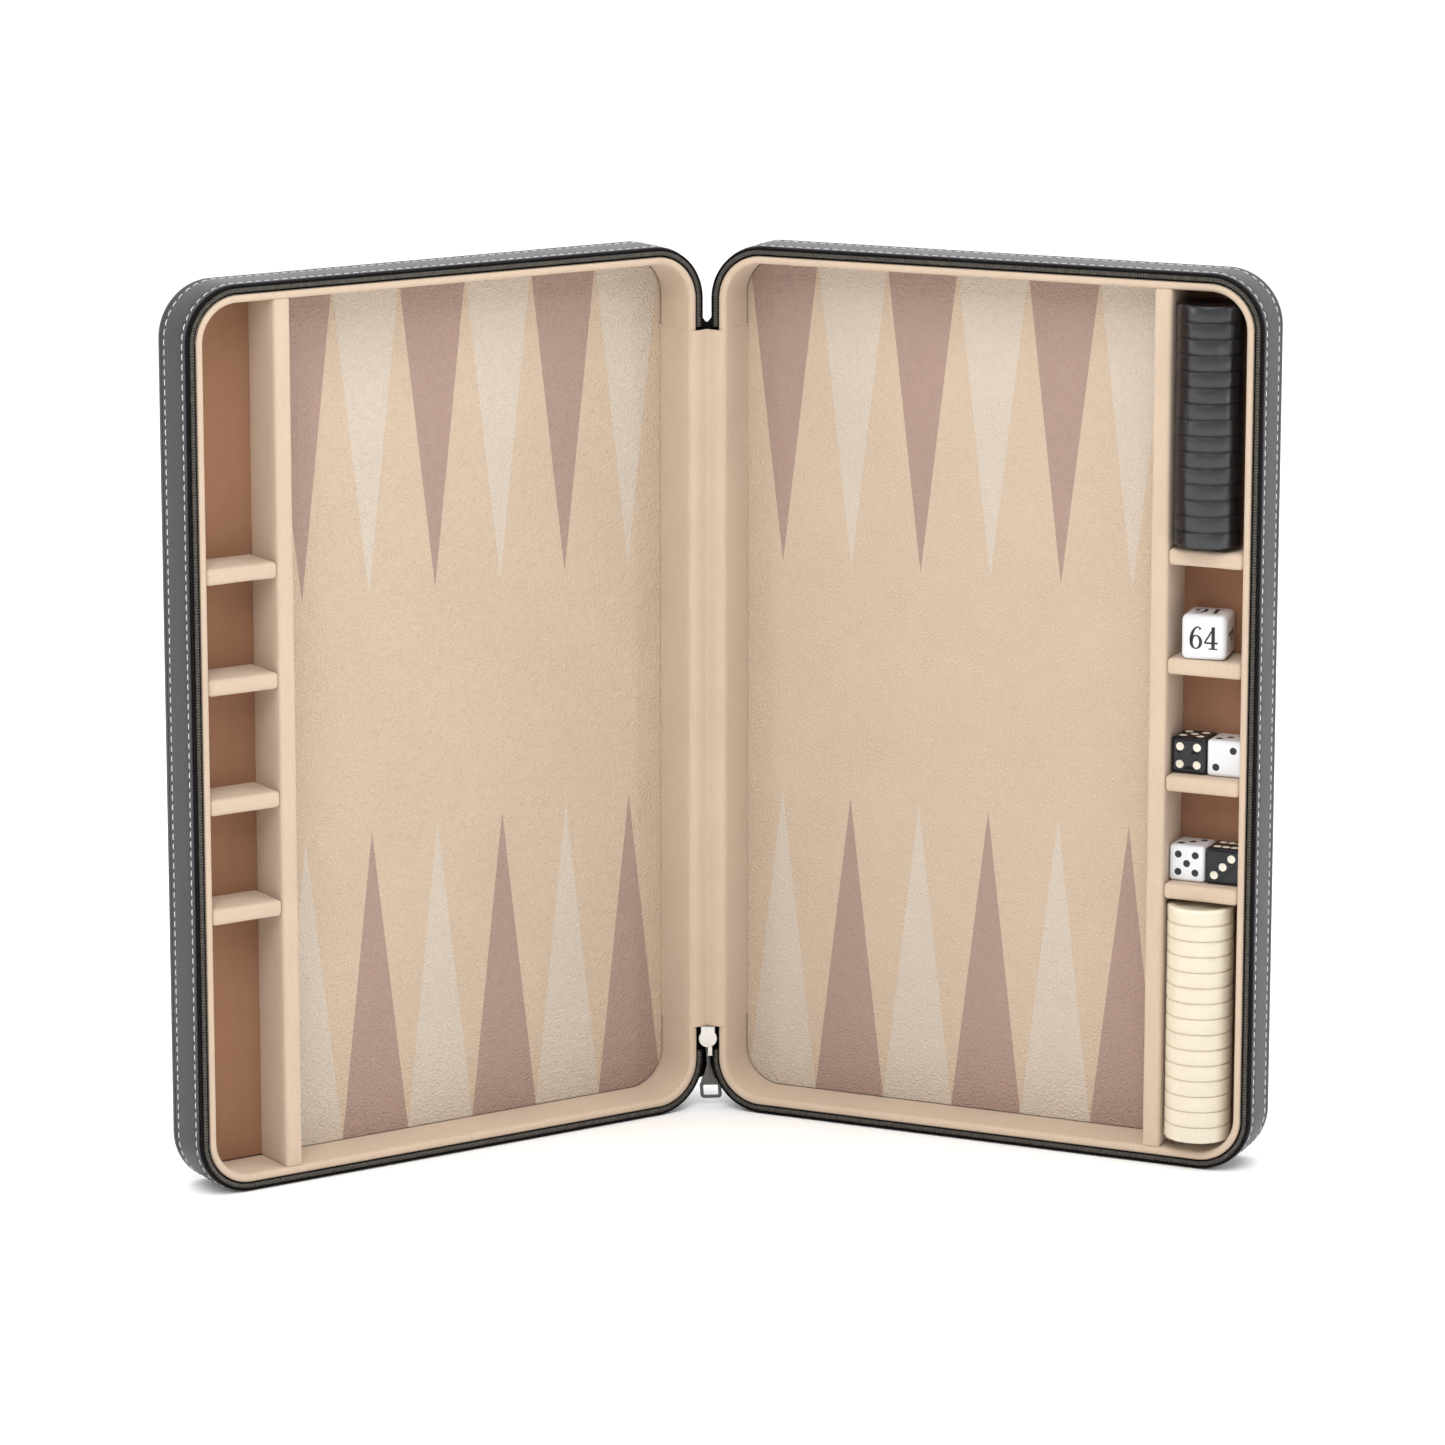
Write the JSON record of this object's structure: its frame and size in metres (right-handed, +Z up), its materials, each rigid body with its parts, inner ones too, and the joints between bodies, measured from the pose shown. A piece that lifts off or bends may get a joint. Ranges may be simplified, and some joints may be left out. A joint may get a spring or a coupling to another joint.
{
  "type": "backgammon set",
  "caption": "Zip-up travel backgammon case: two hinged trays with inlaid points, side racks, stacked checkers, dice and a doubling cube.",
  "frame": {"origin": "middle of the set's footprint, on the surface that it stands on", "axes": "+X to the right across the open case, +Y from the open front to the hinge at the back, +Z up along the hinge"},
  "size_m": [0.4726, 0.1446, 0.39],
  "materials": {
    "board": "plain pressed board, hidden under leather and lining",
    "case_leather": "fine-grained charcoal leatherette, stitched",
    "zip_tape": "black woven tape with a ridged coil",
    "suede": "beige suede cloth, matt",
    "field_leather": "beige leatherette with a pebbled grain",
    "mauve_leather": "mauve leatherette, flush with the field",
    "ivory_leather": "ivory leatherette, flush with the field",
    "nickel": "light nickel plate",
    "gunmetal": "dark gunmetal plate",
    "black_acrylic": "polished black",
    "cream_acrylic": "polished cream",
    "clear_film": "thin clear shrink film with wrinkles",
    "white_dice": "polished white",
    "black_dice": "polished black"
  },
  "bodies": {
    "right_half": {"right_shell": "board", "right_back_cover": "case_leather", "right_side_band": "case_leather", "right_zip_chain": "zip_tape", "right_lining": "suede", "right_tray_rack": "suede", "right_play_panel": "field_leather", "right_points_mauve": "mauve_leather", "right_points_ivory": "ivory_leather"},
    "left_half": {"left_shell": "board", "left_back_cover": "case_leather", "left_side_band": "case_leather", "left_zip_chain": "zip_tape", "left_lining": "suede", "left_tray_rack": "suede", "left_play_panel": "field_leather", "left_points_mauve": "mauve_leather", "left_points_ivory": "ivory_leather"},
    "spine": {"spine_gusset": "suede", "spine_cover": "case_leather"},
    "zip_slider": {"zip_slider": "nickel", "zip_bridge": "nickel"},
    "zip_pull": {"zip_pull": "gunmetal"},
    "black_stack": {"black_checker_01": "black_acrylic", "black_checker_02": "black_acrylic", "black_checker_03": "black_acrylic", "black_checker_04": "black_acrylic", "black_checker_05": "black_acrylic", "black_checker_06": "black_acrylic", "black_checker_07": "black_acrylic", "black_checker_08": "black_acrylic", "black_checker_09": "black_acrylic", "black_checker_10": "black_acrylic", "black_checker_11": "black_acrylic", "black_checker_12": "black_acrylic", "black_checker_13": "black_acrylic", "black_checker_14": "black_acrylic", "black_checker_15": "black_acrylic", "black_stack_wrap": "clear_film"},
    "cream_stack": {"cream_checker_01": "cream_acrylic", "cream_checker_02": "cream_acrylic", "cream_checker_03": "cream_acrylic", "cream_checker_04": "cream_acrylic", "cream_checker_05": "cream_acrylic", "cream_checker_06": "cream_acrylic", "cream_checker_07": "cream_acrylic", "cream_checker_08": "cream_acrylic", "cream_checker_09": "cream_acrylic", "cream_checker_10": "cream_acrylic", "cream_checker_11": "cream_acrylic", "cream_checker_12": "cream_acrylic", "cream_checker_13": "cream_acrylic", "cream_checker_14": "cream_acrylic", "cream_checker_15": "cream_acrylic", "cream_stack_wrap": "clear_film"},
    "doubling_cube": {"doubling_cube": "white_dice"},
    "black_die_upper": {"black_die_upper": "black_dice"},
    "white_die_upper": {"white_die_upper": "white_dice"},
    "white_die_lower": {"white_die_lower": "white_dice"},
    "black_die_lower": {"black_die_lower": "black_dice"}
  },
  "joints": [
    {"name": "case_hinge", "type": "hinge", "parent": "right_half", "child": "left_half", "pos_m": [0, 0.04893, 0], "axis": [0, 0, -1], "range_deg": [-122.86, 57.14], "deforming": ["spine_gusset", "spine_cover"]},
    {"name": "spine_fold", "type": "hinge", "parent": "right_half", "child": "spine", "pos_m": [0, 0.04893, 0], "axis": [0, 0, -1], "range_deg": [-61.43, 28.57]},
    {"name": "zip_slide", "type": "slide", "parent": "spine", "child": "zip_slider", "axis": [0, 0, -1], "range_m": [0, 0.0025]},
    {"name": "pull_swing", "type": "hinge", "parent": "zip_slider", "child": "zip_pull", "pos_m": [0, 0.05323, 0.0334], "axis": [-1, 0, 0], "range_deg": [-90, 0]},
    {"name": "black_stack_lift", "type": "slide", "parent": "right_half", "child": "black_stack", "axis": [-0.4782, -0.8782, 0], "range_m": [0, 0.045]},
    {"name": "cream_stack_lift", "type": "slide", "parent": "right_half", "child": "cream_stack", "axis": [-0.4782, -0.8782, 0], "range_m": [0, 0.045]},
    {"name": "doubling_cube_lift", "type": "slide", "parent": "right_half", "child": "doubling_cube", "axis": [-0.4782, -0.8782, 0], "range_m": [0, 0.035]},
    {"name": "black_die_upper_lift", "type": "slide", "parent": "right_half", "child": "black_die_upper", "axis": [-0.4782, -0.8782, 0], "range_m": [0, 0.035]},
    {"name": "white_die_upper_lift", "type": "slide", "parent": "right_half", "child": "white_die_upper", "axis": [-0.4782, -0.8782, 0], "range_m": [0, 0.035]},
    {"name": "white_die_lower_lift", "type": "slide", "parent": "right_half", "child": "white_die_lower", "axis": [-0.4782, -0.8782, 0], "range_m": [0, 0.035]},
    {"name": "black_die_lower_lift", "type": "slide", "parent": "right_half", "child": "black_die_lower", "axis": [-0.4782, -0.8782, 0], "range_m": [0, 0.035]}
  ],
  "couplings": [
    {"joint": "spine_fold", "follows": "case_hinge", "ratio": 0.5}
  ]
}
